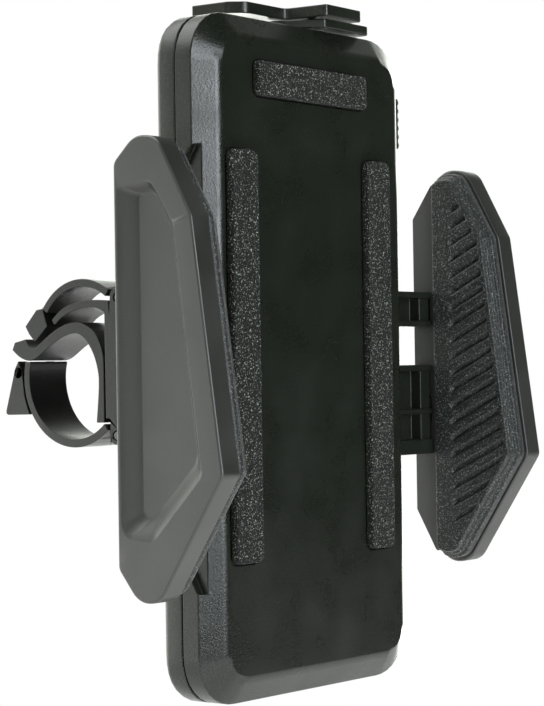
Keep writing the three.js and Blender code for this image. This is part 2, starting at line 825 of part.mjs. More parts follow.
// The tab's outline is drawn about its pivot, the lobes towards -Y, before it is turned.
function stopTab() {
  const [midU, midV] = TAB_MIDDLE;
  const shape = outline([
    [midU - 20.6, midV, 0.4],
    [midU - 14, midV - 7.4, 3],
    [midU - 9.5, midV - 8.4, 3],
    [midU + 1.8, midV - 0.4, 1.5],
    [midU + 9.5, midV - 8.4, 1.2],
    [midU + 20.6, midV, 0.6],
    [midU + 17, midV + 3.6, 2],
    [midU - 17, midV + 3.6, 2],
  ]);
  const { shank, bore, sunk } = TAB_SCREW;
  return cut(
    plate("z", shape, 0, TAB_THICK, 5),
    rod("z", 0, 0, shank + GAP, -PAST, TAB_THICK + PAST, 6),
    rod("z", 0, 0, bore, TAB_THICK - sunk - GAP, TAB_THICK + PAST, 8),
  );
}

function tabGroup() {
  const { radius, height, shank, length, sunk } = TAB_SCREW;
  const tab = node("stop_tab", stopTab(), BLACK_PLASTIC);
  const screw = node("tab_screw", screwSolid(radius, height, shank, length), DARK_STEEL);
  screw.rotation.x = Math.PI / 2;
  screw.position.z = TAB_THICK - sunk;
  const group = groupOf(tab, screw);
  group.position.set(TAB_PIVOT[0], TAB_PIVOT[1], TAB_BASE_TOP);
  group.rotation.z = TAB_TURN;
  return group;
}

// ---- Ball joint ----

function ballSocket() {
  const front = CASE_BACK + GAP;
  const cup = lathe([
    [0, front],
    [SOCKET_FLANGE_R, front],
    [SOCKET_FLANGE_R, 17],
    [SOCKET_FLANGE_R - 0.5, 17.5],
    [SOCKET_OUT, 17.5],
    [SOCKET_OUT, SOCKET_BACK],
    [SOCKET_IN, SOCKET_BACK],
    ...profileArc(SOCKET_IN, BALL_Y, 0, -90),
  ]);
  const slotHalf = 0.8;
  const slots = join(
    block(-20, 20, 24, SOCKET_BACK + PAST, -slotHalf, slotHalf),
    block(-slotHalf, slotHalf, 24, SOCKET_BACK + PAST, -20, 20),
  );
  const holes = socketScrewPlaces().map(([x, z]) => rod("y", x, z, 1.4, front - PAST, 18, 6));
  return cut(cup, slots, ...holes);
}

function ballSeat() {
  const lip = SOCKET_BACK - GAP;
  const rise = THREE.MathUtils.radToDeg(Math.asin((lip - BALL_Y) / SEAT_IN));
  return lathe([
    ...profileArc(SEAT_OUT, BALL_Y, -90, 0),
    [SEAT_OUT, lip],
    ...profileArc(SEAT_IN, BALL_Y, rise, -90),
  ]);
}

function lockCollar() {
  const flutes = 18;
  const fluteDeep = 0.5;
  const points = Array.from({ length: flutes * 4 }, (_, i) => {
    const angle = (2 * Math.PI * i) / (flutes * 4);
    const radius = COLLAR_OUT + fluteDeep * Math.cos(flutes * angle);
    return new THREE.Vector2(radius * Math.cos(angle), radius * Math.sin(angle));
  });
  const ring = plate("y", new THREE.Shape(points), 20.5, 35);
  const lipY = SOCKET_BACK + GAP;
  return cut(ring, rod("y", 0, 0, COLLAR_IN, 20, lipY, 12), rod("y", 0, 0, 8.6, 20, 36, 10));
}

function ballStud() {
  const rise = THREE.MathUtils.radToDeg(Math.acos(STEM_R / BALL_R));
  const solid = lathe([
    ...profileArc(BALL_R, BALL_Y, -90, rise, 8),
    [STEM_R, 45.4],
    [8.6, 46.4],
    [8.6, STEM_FOOT_Y],
    [4, STEM_FOOT_Y],
    [4, 55],
    [0, 55],
  ]);
  return cut(solid, rod("y", 0, 0, 1.4, 46, 56, 6));
}

// ---- Handlebar clamp ----

function acrossBand(shape, curveSegments = 8) {
  return plate("x", shape, -BAND_HALF_W, BAND_HALF_W, curveSegments);
}

function knuckle(shape) {
  return plate("x", shape, -KNUCKLE_HALF_W, KNUCKLE_HALF_W, 5);
}

function pinHole([y, z]) {
  return rod("x", y, z, PIN_R + 0.1, -20, 20, 8);
}

function pinSolid() {
  return rod("x", 0, 0, PIN_R, -BAND_HALF_W + 0.2, BAND_HALF_W - 0.2, 8);
}

function ears(shape) {
  return join(
    plate("x", shape, -BAND_HALF_W, -EAR_IN, 5),
    plate("x", shape, EAR_IN, BAND_HALF_W, 5),
  );
}

function saddleBlock() {
  return acrossBand(
    outline([
      [SADDLE_FRONT, -12.5, 2],
      [54.6, -14.2, 1],
      [SADDLE_BACK, -14.2, 0.4],
      [SADDLE_BACK, 12.6, 0.2],
      [SADDLE_FRONT, 12.6, 2],
    ]),
    4,
  );
}

// The short arm arches from the saddle's top over the tongue.
function saddleArm() {
  const shape = new THREE.Shape();
  shape.moveTo(59.2, 12);
  shape.lineTo(59.2, 14.9);
  shape.splineThru([
    new THREE.Vector2(63, 15.2),
    new THREE.Vector2(67.5, 15.2),
    new THREE.Vector2(72, 14.5),
    new THREE.Vector2(75.8, 13),
    new THREE.Vector2(78.8, 10.7),
  ]);
  shape.lineTo(77.9, 9.4);
  shape.splineThru([
    new THREE.Vector2(75, 11.4),
    new THREE.Vector2(71.5, 12.7),
    new THREE.Vector2(67.5, 13.4),
    new THREE.Vector2(63.5, 13.2),
    new THREE.Vector2(60.6, 12),
  ]);
  shape.closePath();
  return acrossBand(shape, 3);
}

function clampSaddle() {
  const [upperY, upperZ] = UPPER_PIN;
  const [lowerY, lowerZ] = LOWER_PIN;
  const upperEars = ears(
    outline([
      [upperY - 2.6, 11, 0.2],
      [upperY + 2.4, 11, 0.2],
      [upperY + 2.4, upperZ + 2.2, 2],
      [upperY - 2.6, upperZ + 2.2, 2],
    ]),
  );
  const lowerEars = ears(
    outline([
      [lowerY - 2.4, lowerZ - 2.2, 2],
      [lowerY + 2, lowerZ - 2.2, 2],
      [lowerY + 2, -13, 0.2],
      [lowerY - 2.4, -13, 0.2],
    ]),
  );
  const knuckleRoom = join(
    block(-EAR_IN, EAR_IN, upperY - 3.2, upperY + 3.2, upperZ - 3, upperZ + 6),
    block(-EAR_IN, EAR_IN, lowerY - 3, lowerY + 5, lowerZ - 4, lowerZ + 3.2),
  );
  const studHole = rod("y", 0, 0, 4 + GAP, SADDLE_FRONT - PAST, 55.3, 10);
  const screwHole = join(
    rod("y", 0, 0, 1.6, 55, SADDLE_BACK, 6),
    rod("y", 0, 0, 3.1, 58, SADDLE_BACK + PAST, 8),
  );
  const pegHole = block(-3 - GAP, 3 + GAP, 56.7, SADDLE_BACK + PAST, -11.3, -7.7);
  return cut(
    join(cut(join(saddleBlock(), upperEars, lowerEars), knuckleRoom), saddleArm()),
    pinHole(UPPER_PIN),
    pinHole(LOWER_PIN),
    studHole,
    screwHole,
    pegHole,
  );
}

// The arched band runs from its pin on the saddle to the buckle block at its free end.
function upperBand() {
  const [pinY, pinZ] = UPPER_PIN;
  const arch = acrossBand(arcBand(UPPER_CENTRE, UPPER_R, UPPER_THICK, 34, 126), 12);
  const buckle = acrossBand(
    outline([
      [84.3, 13.4, 0.5],
      [82, 13.7, 0.4],
      [80.3, 9.2, 0.5],
      [84.9, 5.1, 0.5],
      [86.9, 7.2, 0.5],
      [88.5, 9.3, 0.5],
    ]),
    3,
  );
  const root = knuckle(
    outline([
      [pinY - 2, pinZ - 2, 1.9],
      [pinY + 2.2, pinZ - 0.6, 1],
      [61, 15.9, 0.2],
      [61.4, 18.6, 0.2],
      [pinY - 2, pinZ + 2.2, 1.9],
    ]),
  );
  return cut(join(arch, buckle, root), pinHole(UPPER_PIN));
}

// The tongue lies on the saddle's back, arches over the bar and ends in a hook that holds the buckle block.
function gripTongue() {
  const shape = new THREE.Shape();
  shape.moveTo(61.1, -15);
  shape.lineTo(63.8, -15);
  shape.splineThru([
    new THREE.Vector2(62.9, -5.5),
    new THREE.Vector2(63.5, -1),
    new THREE.Vector2(65.2, 2.9),
    new THREE.Vector2(67.8, 5.9),
    new THREE.Vector2(70.8, 7.2),
    new THREE.Vector2(75.4, 6.2),
    new THREE.Vector2(80.2, 3.8),
    new THREE.Vector2(84.2, 1.4),
    new THREE.Vector2(87.2, 0.6),
    new THREE.Vector2(90.4, 1.5),
    new THREE.Vector2(93.1, 3.4),
  ]);
  shape.lineTo(92.2, 5.3);
  shape.lineTo(88.1, 6.1);
  shape.splineThru([
    new THREE.Vector2(86.9, 4.2),
    new THREE.Vector2(85.7, 3.6),
    new THREE.Vector2(84, 4.3),
    new THREE.Vector2(79.8, 7),
    new THREE.Vector2(75.4, 9.1),
    new THREE.Vector2(71, 9.9),
    new THREE.Vector2(67.4, 9.2),
    new THREE.Vector2(63.6, 6.8),
    new THREE.Vector2(61.4, 2.4),
    new THREE.Vector2(61.05, -2),
  ]);
  shape.closePath();
  const peg = block(-3, 3, 57, 62, -11, -8);
  return join(acrossBand(shape, 3), peg);
}

function lowerBand() {
  const [pinY, pinZ] = LOWER_PIN;
  const [leverY, leverZ] = LEVER_PIN;
  const ring = acrossBand(arcBand(LOWER_CENTRE, LOWER_R, LOWER_THICK, 228, 374), 16);
  const end = acrossBand(
    outline([
      [86.4, -0.4],
      [88.4, -0.4],
      [88.4, 0.4],
      [87.2, 0.28],
      [86.4, 0.4],
    ]),
  );
  const root = knuckle(
    outline([
      [pinY - 2.2, pinZ + 2.2, 2.1],
      [62.5, -16.4, 0.2],
      [62.5, -19, 0.2],
      [pinY - 2.2, pinZ - 2.2, 2.1],
    ]),
  );
  const tip = knuckle(
    outline([
      [87.4, -1.9, 0.2],
      [87.4, -5, 0.2],
      [leverY + 1.6, leverZ - 1.6, 1.5],
      [leverY + 1.6, leverZ + 1.5, 1.5],
      [88.6, -0.9, 0.3],
    ]),
  );
  return cut(join(ring, end, root, tip), pinHole(LOWER_PIN), pinHole(LEVER_PIN));
}

// A finger wedge pivoted on the lower band's free end: it lies along the ring and widens downwards.
function latchLever() {
  const [pinY, pinZ] = LEVER_PIN;
  const wedge = acrossBand(
    outline([
      [90.6, 0.6, 0.3],
      [89.4, -4, 0.5],
      [88.9, -8, 2],
      [87.9, -11, 2],
      [86.9, -13.1, 0.2],
      [96, -13.1, 0.8],
      [91.4, 0.7, 0.2],
    ]),
    3,
  );
  const hub = ears(circle(pinY, pinZ, 1.7));
  const knuckleRoom = join(
    block(-EAR_IN, EAR_IN, 85, 100, -5.4, 5),
    rod("x", pinY, pinZ, 2.2, -EAR_IN, EAR_IN, 6),
  );
  return cut(join(wedge, hub), knuckleRoom, pinHole(LEVER_PIN));
}

function bandPin(name, [y, z]) {
  const pin = node(name, pinSolid(), DARK_STEEL);
  pin.position.set(0, y, z);
  return pin;
}

// ---- Assembly ----

function casePieces() {
  return groupOf(
    node("front_shell", frontShell(), BLACK_PLASTIC),
    node("rear_shell", rearShell(), BLACK_PLASTIC),
    ...Object.entries(FOAM_STRIPS).map(([name, strip]) =>
      node(name, foamPlate(strip, 0, FOAM_FRONT, RECESS_DEEP - GAP), FOAM),
    ),
    node("tab_base", tabBase(), BLACK_PLASTIC),
    tabGroup(),
    ...caseScrews(),
  );
}

// The right jaw is made in place. The left one is its mirror image in the plane X = 0, except that its sockets
// are where the turned arms need them.
function jawPieces(side) {
  const turn = side === "left" ? -1 : 1;
  const armHeights = [UPPER_ARM, LOWER_ARM].map((arm) => turn * armMiddle(arm));
  const group = groupOf(
    node(`${side}_jaw_shell`, jawShell(armHeights), GREY_PLASTIC),
    node(`${side}_jaw_pad`, jawPad(), RUBBER),
  );
  if (side === "left") group.scale.x = -1;
  return group;
}

// The right arms are made in place, and the left ones are the same turned half round about Y.
function armPieces(side) {
  const middles = { upper: armMiddle(UPPER_ARM), lower: armMiddle(LOWER_ARM) };
  const group = groupOf(
    node(`${side}_upper_arm`, upperArm(), BLACK_PLASTIC),
    node(`${side}_lower_arm`, lowerArm(), BLACK_PLASTIC),
  );
  const spring = node(
    `${side}_jaw_spring`,
    springSolid(SPRING_R, WIRE_R, ARM_IN - SPRING_STOP_X - 2 * GAP - 2 * WIRE_R, 9),
    STEEL,
  );
  spring.position.set(SPRING_STOP_X + GAP + WIRE_R, (GEAR_FRONT + ARM_BACK) / 2, SPRING_Z);
  group.add(spring);
  Object.entries(middles).forEach(([name, z]) => {
    const screw = node(`${side}_${name}_arm_screw`, screwSolid(1.8, 0.9, 1.05, 2.8), STEEL);
    screw.position.set(52.6, 6.9 + 0.1, z);
    group.add(screw);
  });
  if (side === "left") group.rotation.y = Math.PI;
  return group;
}

function drivePieces() {
  const pinionScrew = node("pinion_screw", screwSolid(2.5, 0.8, 1.5, 9.2), STEEL);
  pinionScrew.rotation.x = Math.PI;
  pinionScrew.position.y = GEAR_FRONT - 0.2;
  const pawlPin = node("pawl_pin", rod("y", 0, 0, 1.5, 3, 12.1, 8), STEEL);
  pawlPin.position.set(PAWL_X, 0, PAWL_Z);
  const { x, y, z, radius, wire, length, turns } = BUTTON_SPRING;
  const buttonSpring = node("button_spring", springSolid(radius, wire, length, turns), STEEL);
  buttonSpring.position.set(x, y, z);
  return groupOf(
    node("pinion", pinionSolid(), STEEL),
    pinionScrew,
    node("release_button", buttonSolid(), BLACK_PLASTIC),
    buttonSpring,
    node("latch_pawl", pawlSolid(), STEEL),
    pawlPin,
  );
}

function ballPieces() {
  const screws = socketScrewPlaces().map(([x, z], i) => {
    const screw = node(`socket_screw_${i + 1}`, screwSolid(2.1, 1.1, 1.1, 7.6), STEEL);
    screw.position.set(x, 17.5 + GAP, z);
    return screw;
  });
  return groupOf(
    node("ball_socket", ballSocket(), BLACK_PLASTIC),
    node("ball_seat", ballSeat(), RUBBER),
    node("lock_collar", lockCollar(), BLACK_PLASTIC),
    node("ball_stud", ballStud(), BLACK_PLASTIC),
    ...screws,
  );
}

function clampPieces() {
  const studScrew = node("stud_screw", screwSolid(2.7, 1.6, 1.1, 9), STEEL);
  studScrew.position.y = 58 + GAP;
  return groupOf(
    node("clamp_saddle", clampSaddle(), BLACK_PLASTIC),
    node("upper_band", upperBand(), BLACK_PLASTIC),
    node("grip_tongue", gripTongue(), BLACK_PLASTIC),
    node("lower_band", lowerBand(), BLACK_PLASTIC),
    node("latch_lever", latchLever(), BLACK_PLASTIC),
    studScrew,
    bandPin("upper_band_pin", UPPER_PIN),
    bandPin("lower_band_pin", LOWER_PIN),
    bandPin("lever_pin", LEVER_PIN),
  );
}

const mount = groupOf(
  casePieces(),
  jawPieces("left"),
  jawPieces("right"),
  armPieces("left"),
  armPieces("right"),
  drivePieces(),
  ballPieces(),
  clampPieces(),
);

export default mount;
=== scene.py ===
"""Looks for the phone handlebar mount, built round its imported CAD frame. Lengths are in millimetres until a
mesh is made, and the jaws are made on the right and mirrored for the left."""

import json
import math

import bmesh
import bpy
from mathutils import Matrix, Vector, noise

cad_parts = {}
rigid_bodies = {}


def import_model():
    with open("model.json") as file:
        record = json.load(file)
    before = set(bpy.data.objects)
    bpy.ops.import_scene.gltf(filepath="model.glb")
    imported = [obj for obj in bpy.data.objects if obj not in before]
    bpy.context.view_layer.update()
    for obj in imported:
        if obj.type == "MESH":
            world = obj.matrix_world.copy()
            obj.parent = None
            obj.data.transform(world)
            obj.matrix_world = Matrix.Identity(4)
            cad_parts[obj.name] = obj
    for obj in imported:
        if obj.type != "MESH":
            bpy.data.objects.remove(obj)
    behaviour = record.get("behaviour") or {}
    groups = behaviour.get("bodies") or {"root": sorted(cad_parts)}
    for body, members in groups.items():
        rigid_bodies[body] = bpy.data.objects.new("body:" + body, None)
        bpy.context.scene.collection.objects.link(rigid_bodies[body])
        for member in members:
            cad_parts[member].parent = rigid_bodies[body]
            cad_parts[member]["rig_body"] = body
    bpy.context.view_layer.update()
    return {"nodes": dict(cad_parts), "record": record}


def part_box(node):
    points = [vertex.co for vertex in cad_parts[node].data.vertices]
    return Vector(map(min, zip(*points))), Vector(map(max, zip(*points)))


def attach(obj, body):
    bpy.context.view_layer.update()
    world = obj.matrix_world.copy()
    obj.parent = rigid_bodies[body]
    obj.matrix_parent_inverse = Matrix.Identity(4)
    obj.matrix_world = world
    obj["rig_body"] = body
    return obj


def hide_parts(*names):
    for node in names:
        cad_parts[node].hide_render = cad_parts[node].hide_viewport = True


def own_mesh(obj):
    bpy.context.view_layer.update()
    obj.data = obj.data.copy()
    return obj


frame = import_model()

MM = 0.001

# The case's front, as in the CAD: a flat face with a chamfer all round, which bends over the blend's width
FACE_HALF_W = 31.7
FACE_HALF_H = 70.0
FACE_CORNER = 5.5
CHAMFER_OUT = 6.45
CHAMFER_DEEP = 3.9
CHAMFER_BLEND = 1.8

# The foam strips' cut edges and roughness
FOAM_EDGE = 0.3
FOAM_GRID = 0.42
FOAM_ROUGH = 0.16
FOAM_ROUGH_FINE = 0.1

# The right jaw: X of its outside, of its board's inside and of its pad's face. An outline lists corners in
# Y and Z with a radius.
JAW_OUT = 60.0
JAW_RIM = 54.3
PAD_X = 49.3
JAW_EDGE = 0.55
JAW_EDGE_INSIDE = 0.35
JAW_OUTLINE = [
    (6.8, 41.2, 2.5),
    (0.8, 46.6, 6),
    (-5.6, 45.9, 5),
    (-14.8, 29, 3),
    (-22.3, -24.3, 2.5),
    (-4.8, -50.7, 5),
    (1.2, -51.2, 6),
    (6.9, -44.2, 2.5),
]
PANEL_RIM = [
    (5.9, 36.2, 1.2),
    (-3.6, 37.2, 3.5),
    (-9.9, 27.8, 3),
    (-16.9, -24.5, 3),
    (-3.0, -38.6, 3),
    (5.9, -37.6, 3.4),
]
PANEL_FLOOR = [
    (1.2, 34.2, 1.0),
    (-3.4, 34.4, 1.8),
    (-7.7, 26.6, 2.5),
    (-13.9, -21, 3),
    (-4.0, -31.0, 3),
    (1.2, -35.0, 2),
]
PANEL_DEEP = 2.2
PAD_OUTLINE = [
    (1.5, 43.9, 1),
    (-0.4, 45.35, 2.5),
    (-4.9, 45.4, 4),
    (-14.3, 29, 3),
    (-21.7, -24.2, 2.5),
    (-4.7, -49.9, 4.5),
    (-0.4, -49.95, 2.5),
    (1.5, -48.6, 1),
]
PAD_INSET = 2.0
PAD_BACK = 1.5

# The pads' three steps, as distances outwards from the face and heights
PAD_STEPS = [
    (0.2, -0.05),
    (0.34, -0.2),
    (0.4, -0.5),
    (0.5, -1.1),
    (0.62, -1.28),
    (0.9, -1.35),
    (1.05, -1.45),
    (1.12, -1.7),
    (1.2, -2.3),
    (1.3, -2.45),
    (1.6, -2.5),
    (1.85, -2.58),
    (1.97, -2.8),
    (PAD_INSET, -3.1),
]
PAD_GRID = 0.34

# Grooves in the pads
RIDGE_PITCH = 4.0
RIDGE_SLOPE = 0.5
GROOVE_DEEP = 1.0
GROOVE_BACK_Y = -2.8
GROOVE_LOW_Z = -44
GROOVE_HIGH_Z = 40

# The ball joint, along Y
BALL_Y = 29.0
BALL_R = 8.5
STEM_R = 4.5
STUD_FOOT_Y = 49.7
FLUTES = 18
FLUTE_DEEP = 0.5


# ---- Outlines in two dimensions ----


def inset(corners, distance):
    """The corners of a clockwise or anticlockwise outline moved inwards, with their radii kept sensible."""
    least_r = 0.4
    area = sum(a[0] * b[1] - b[0] * a[1] for a, b in zip(corners, corners[1:] + corners[:1]))
    turn = 1 if area > 0 else -1
    moved = []
    for before, here, after in zip(corners[-1:] + corners[:-1], corners, corners[1:] + corners[:1]):
        into = Vector((here[0] - before[0], here[1] - before[1])).normalized()
        out = Vector((after[0] - here[0], after[1] - here[1])).normalized()
        into_normal = turn * Vector((-into.y, into.x))
        out_normal = turn * Vector((-out.y, out.x))
        along = (into_normal + out_normal) / (1 + into_normal.dot(out_normal))
        shift = along * distance
        moved.append((here[0] + shift.x, here[1] + shift.y, max(here[2] - distance, least_r)))
    return moved


def rounded(corners, arc_steps):
    """Points round an outline whose corners are arcs, none of them longer than half of a side."""
    half_side = 0.49
    points = []
    for before, here, after in zip(corners[-1:] + corners[:-1], corners, corners[1:] + corners[:1]):
        corner = Vector(here[:2])
        to_before = (Vector(before[:2]) - corner).normalized()
        to_after = (Vector(after[:2]) - corner).normalized()
        half = to_before.angle(to_after) / 2
        shortest = min((Vector(before[:2]) - corner).length, (Vector(after[:2]) - corner).length)
        reach = min(here[2] / math.tan(half), half_side * shortest)
        radius = reach * math.tan(half)
        middle = corner + (to_before + to_after).normalized() * (radius / math.sin(half))
        start = corner + to_before * reach - middle
        end = corner + to_after * reach - middle
        sweep = start.angle_signed(end)
        for step in range(arc_steps + 1):
            spoke = start.copy()
            spoke.rotate(Matrix.Rotation(-sweep * step / arc_steps, 2))
            points.append(middle + spoke)
    return points


def span(points, level):
    """Where a convex outline crosses one level of its second coordinate: lowest and highest."""
    crossings = []
    for a, b in zip(points, points[1:] + points[:1]):
        if min(a.y, b.y) <= level <= max(a.y, b.y) and a.y != b.y:
            crossings.append(a.x + (b.x - a.x) * (level - a.y) / (b.y - a.y))
    return min(crossings), max(crossings)


def smooth(value, low, high):
    """0 below low, 1 above high, and an S curve in between."""
    t = min(max((value - low) / (high - low), 0), 1)
    return t * t * (3 - 2 * t)


# ---- Meshes ----


def linked(thing):
    bpy.context.scene.collection.objects.link(thing)
    return thing


def made(name, bm, slot, body, *nodes, smooth_shading=True):
    """A finished piece: it has its slot's material, rides on a body and stands for the nodes."""
    bmesh.ops.recalc_face_normals(bm, faces=bm.faces)
    mesh = bpy.data.meshes.new(name)
    bm.to_mesh(mesh)
    bm.free()
    mesh.materials.append(MATERIALS[slot])
    mesh.polygons.foreach_set("use_smooth", [smooth_shading] * len(mesh.polygons))
    piece = linked(bpy.data.objects.new(name, mesh))
    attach(piece, body)
    if nodes:
        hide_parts(*nodes)
    return piece


def soft_edges(piece, width, angle=32, segments=2, clamped=False):
    """Rounds the piece's sharp edges and lets its large faces keep their shading flat."""
    bevel = piece.modifiers.new("edges", "BEVEL")
    bevel.width = width * MM
    bevel.segments = segments
    bevel.limit_method = "ANGLE"
    bevel.angle_limit = math.radians(angle)
    bevel.use_clamp_overlap = clamped
    bevel.miter_outer = "MITER_ARC"
    normals = piece.modifiers.new("normals", "WEIGHTED_NORMAL")
    normals.keep_sharp = True
    normals.weight = 100


def cad_bmesh(node, shortest=0.0):
    """A CAD node's mesh with split vertices joined, flat faces whole and no edge under the shortest."""
    bm = bmesh.new()
    bm.from_mesh(frame["nodes"][node].data)
    bmesh.ops.remove_doubles(bm, verts=bm.verts, dist=0.002 * MM)
    whole_faces(bm)
    if shortest:
        bmesh.ops.dissolve_degenerate(bm, dist=shortest * MM, edges=bm.edges)
        whole_faces(bm)
    return bm


def whole_faces(bm):
    """Joins neighbouring faces that lie in one plane."""
    bmesh.ops.dissolve_limit(bm, angle_limit=math.radians(0.8), verts=bm.verts, edges=bm.edges)


def body_of(node):
    return frame["nodes"][node]["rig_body"]


def dressed(node, slot, width, angle=32, segments=2, shortest=0.0):
    """A CAD node's own shape with rounded edges."""
    piece = made(f"{node}_finished", cad_bmesh(node, shortest), slot, body_of(node), node)
    soft_edges(piece, width, angle, segments)


def cut_across(bm, point, normal, clear_outer=False):
    """Cuts the mesh along a plane, and drops what is outside it if asked to."""
    everything = list(bm.verts) + list(bm.edges) + list(bm.faces)
    bmesh.ops.bisect_plane(
        bm, geom=everything, plane_co=point, plane_no=normal, clear_outer=clear_outer, dist=1e-7
    )


def ring_of(bm, points, place):
    return [bm.verts.new(place(p)) for p in points]


def bridge(bm, one, two):
    """Faces between two rings of as many vertices."""
    for i in range(len(one)):
        j = (i + 1) % len(one)
        bm.faces.new((one[i], one[j], two[j], two[i]))


def bridge_all(bm, rings):
    for one, two in zip(rings, rings[1:]):
        bridge(bm, one, two)


def close_ends(bm, rings):
    bm.faces.new(rings[0])
    bm.faces.new(rings[-1])


def fill(bm, *loops):
    """Flat triangles between closed loops of vertices."""
    edges = []
    for loop in loops:
        for a, b in zip(loop, loop[1:] + loop[:1]):
            edges.append(bm.edges.get((a, b)) or bm.edges.new((a, b)))
    bmesh.ops.triangle_fill(bm, use_beauty=True, use_dissolve=False, edges=edges)


def outward(points):
    """For each point of a closed outline, the unit direction that points out of it."""
    area = sum(a.x * b.y - b.x * a.y for a, b in zip(points, points[1:] + points[:1]))
    turn = 1 if area > 0 else -1
    directions = []
    for before, after in zip(points[-1:] + points[:-1], points[1:] + points[:1]):
        along = (after - before).normalized()
        directions.append(turn * Vector((along.y, -along.x)))
    return directions


def relief_plate(outline, spacing, height, profile, place):
    """A plate whose face is a fine grid with a height at each point. The profile then leads from the face's
    rim down the sides, as distances outwards and heights, and a flat back closes it."""
    bm = bmesh.new()
    grid = grid_within(outline, spacing)
    verts = [[bm.verts.new(place(p.x, p.y, height(p))) for p in line] for line in grid]
    for below, above in zip(verts, verts[1:]):
        for i in range(len(below) - 1):
            bm.faces.new((below[i], below[i + 1], above[i + 1], above[i]))
    rim = rim_of(grid)
    loop = rim_of(verts)
    directions = outward(rim)
    for distance, level in profile:
        moved = [p + d * distance for p, d in zip(rim, directions)]
        lower = [bm.verts.new(place(p.x, p.y, level)) for p in moved]
        bridge(bm, loop, lower)
        loop = lower
    fill(bm, loop)
    return bm


def grid_within(outline, spacing):
    """Rows of points across a convex outline, each row with as many points from side to side."""
    inside = 0.02
    low = min(p.y for p in outline) + inside
    high = max(p.y for p in outline) - inside
    rows = math.ceil((high - low) / spacing)
    widest = max(p.x for p in outline) - min(p.x for p in outline)
    columns = math.ceil(widest / spacing)
    grid = []
    for row in range(rows + 1):
        level = low + (high - low) * row / rows
        left, right = span(outline, level)
        grid.append([Vector((left + (right - left) * i / columns, level)) for i in range(columns + 1)])
    return grid


def rim_of(grid):
    """What stands along the edge of a grid, in order round it."""
    right = [line[-1] for line in grid[:-1]]
    left = [line[0] for line in grid[:0:-1]]
    return grid[0][:-1] + right + grid[-1][:0:-1] + left


def turned(bm, profile, steps, place, wobble=None):
    """Rings of vertices for a profile of (radius, along), each joined to the next. A wobble gives each angle
    and ring a change of radius."""
    rings = []
    for index, (radius, along) in enumerate(profile):
        ring = []
        for step in range(steps):
            angle = 2 * math.pi * step / steps
            r = radius + (wobble(angle, index) if wobble else 0)
            ring.append(bm.verts.new(place(r * math.cos(angle), r * math.sin(angle), along)))
        rings.append(ring)
    bridge_all(bm, rings)
    return rings


def about_y(a, b, along):
    """Places turned points on the ball joint's axis."""
    return Vector((a, along, b)) * MM


def arc(centre_r, centre_t, radius, from_degrees, to_degrees, steps):
    """Profile points along a circle, angles measured from the outward radius."""
    angles = [math.radians(from_degrees + (to_degrees - from_degrees) * i / steps) for i in range(steps + 1)]
    return [(centre_r + radius * math.cos(a), centre_t + radius * math.sin(a)) for a in angles]


# ---- Materials ----


class Nodes:
    """A material's node tree with short ways to add and join nodes."""

    def __init__(self, name):
        self.material = bpy.data.materials.new(name)
        self.material.use_nodes = True
        self.tree = self.material.node_tree
        self.shader = self.tree.nodes["Principled BSDF"]
        self.place = self.add("ShaderNodeTexCoord").outputs["Object"]

    def add(self, kind, **inputs):
        node = self.tree.nodes.new(kind)
        for key, value in inputs.items():
            node.inputs[key].default_value = value
        return node

    def join(self, output, node_input):
        self.tree.links.new(output, node_input)

    def set(self, **inputs):
        """Sets constants on the shader, its inputs' names written with underscores."""
        for key, value in inputs.items():
            self.shader.inputs[key.replace("_", " ")].default_value = value

    def multiplied(self, one, two, factor):
        """The product of two colours. A mix node has sockets for each kind of value, so its colours' go by
        number."""
        colour_a, colour_b, colour_result = 6, 7, 2
        node = self.add("ShaderNodeMix")
        node.data_type = "RGBA"
        node.blend_type = "MULTIPLY"
        node.inputs["Factor"].default_value = factor
        self.join(one, node.inputs[colour_a])
        self.join(two, node.inputs[colour_b])
        return node.outputs[colour_result]

    def noise(self, size_mm, detail, roughness=0.5, stretch=(1, 1, 1)):
        mapping = self.add("ShaderNodeMapping", Scale=stretch)
        self.join(self.place, mapping.inputs["Vector"])
        node = self.add("ShaderNodeTexNoise", Scale=1 / (size_mm * MM), Detail=detail, Roughness=roughness)
        self.join(mapping.outputs["Vector"], node.inputs["Vector"])
        return node.outputs["Fac"]

    def cells(self, size_mm):
        node = self.add("ShaderNodeTexVoronoi", Scale=1 / (size_mm * MM))
        self.join(self.place, node.inputs["Vector"])
        return node.outputs["Distance"]

    def ramp(self, value, *stops):
        node = self.add("ShaderNodeValToRGB")
        elements = node.color_ramp.elements
        while len(elements) < len(stops):
            elements.new(0.5)
        for element, (position, colour) in zip(elements, stops):
            element.position = position
            grey = colour if isinstance(colour, tuple) else (colour,) * 3
            element.color = (*grey, 1)
        self.join(value, node.inputs["Fac"])
        return node.outputs["Color"]

    def bump(self, height, distance_mm, strength=1.0, under=None):
        node = self.add("ShaderNodeBump", Distance=distance_mm * MM, Strength=strength)
        self.join(height, node.inputs["Height"])
        if under:
            self.join(under, node.inputs["Normal"])
        return node.outputs["Normal"]


def shade(colour, factor):
    return tuple(c * factor for c in colour)


